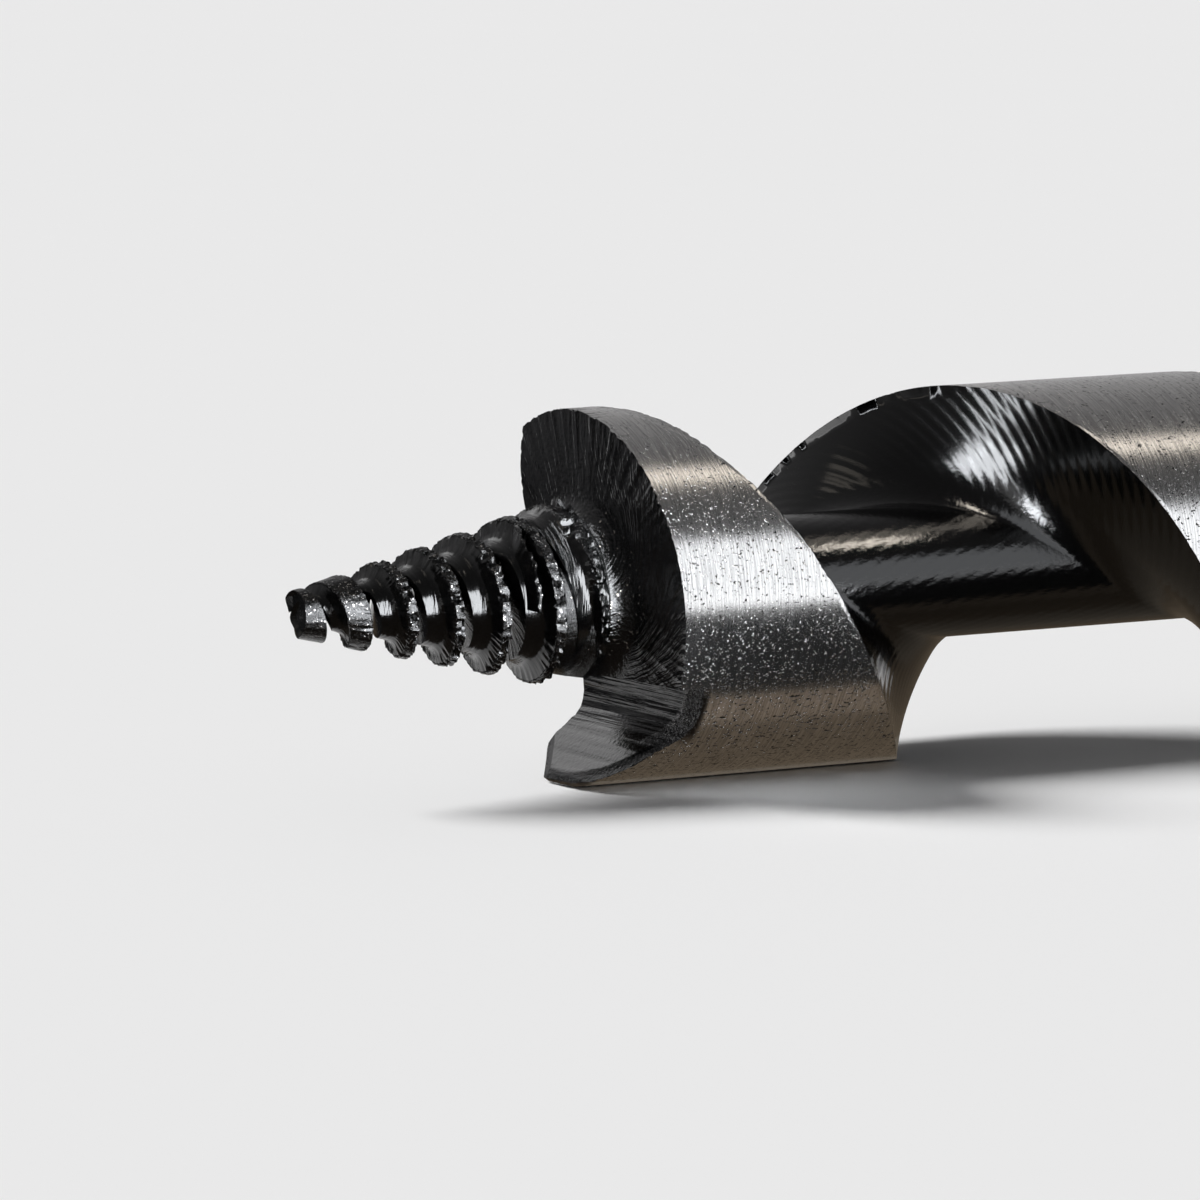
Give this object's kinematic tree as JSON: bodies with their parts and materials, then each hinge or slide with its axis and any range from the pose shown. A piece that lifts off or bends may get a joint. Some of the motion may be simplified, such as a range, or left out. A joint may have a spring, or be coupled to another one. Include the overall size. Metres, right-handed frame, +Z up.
{
  "type": "auger drill bit",
  "caption": "Single-flute auger bit for drilling wood, with a lead screw, one cutting lip, one spur and a hexagonal shank, lying on its side.",
  "frame": {"origin": "under the middle of the bit's length, on the surface that it lies on", "axes": "+X along the bit's axis, from the lead screw to the shank; +Z up, square to the shank's top flat"},
  "size_m": [0.235, 0.016, 0.016],
  "materials": {
    "tool_steel": "Dark tool steel: the lands are ground bare and show fine lines and pits, and the flute, head and lead screw are lacquered glossy black."
  },
  "bodies": {
    "root": {"auger_bit": "tool_steel"}
  },
  "joints": []
}
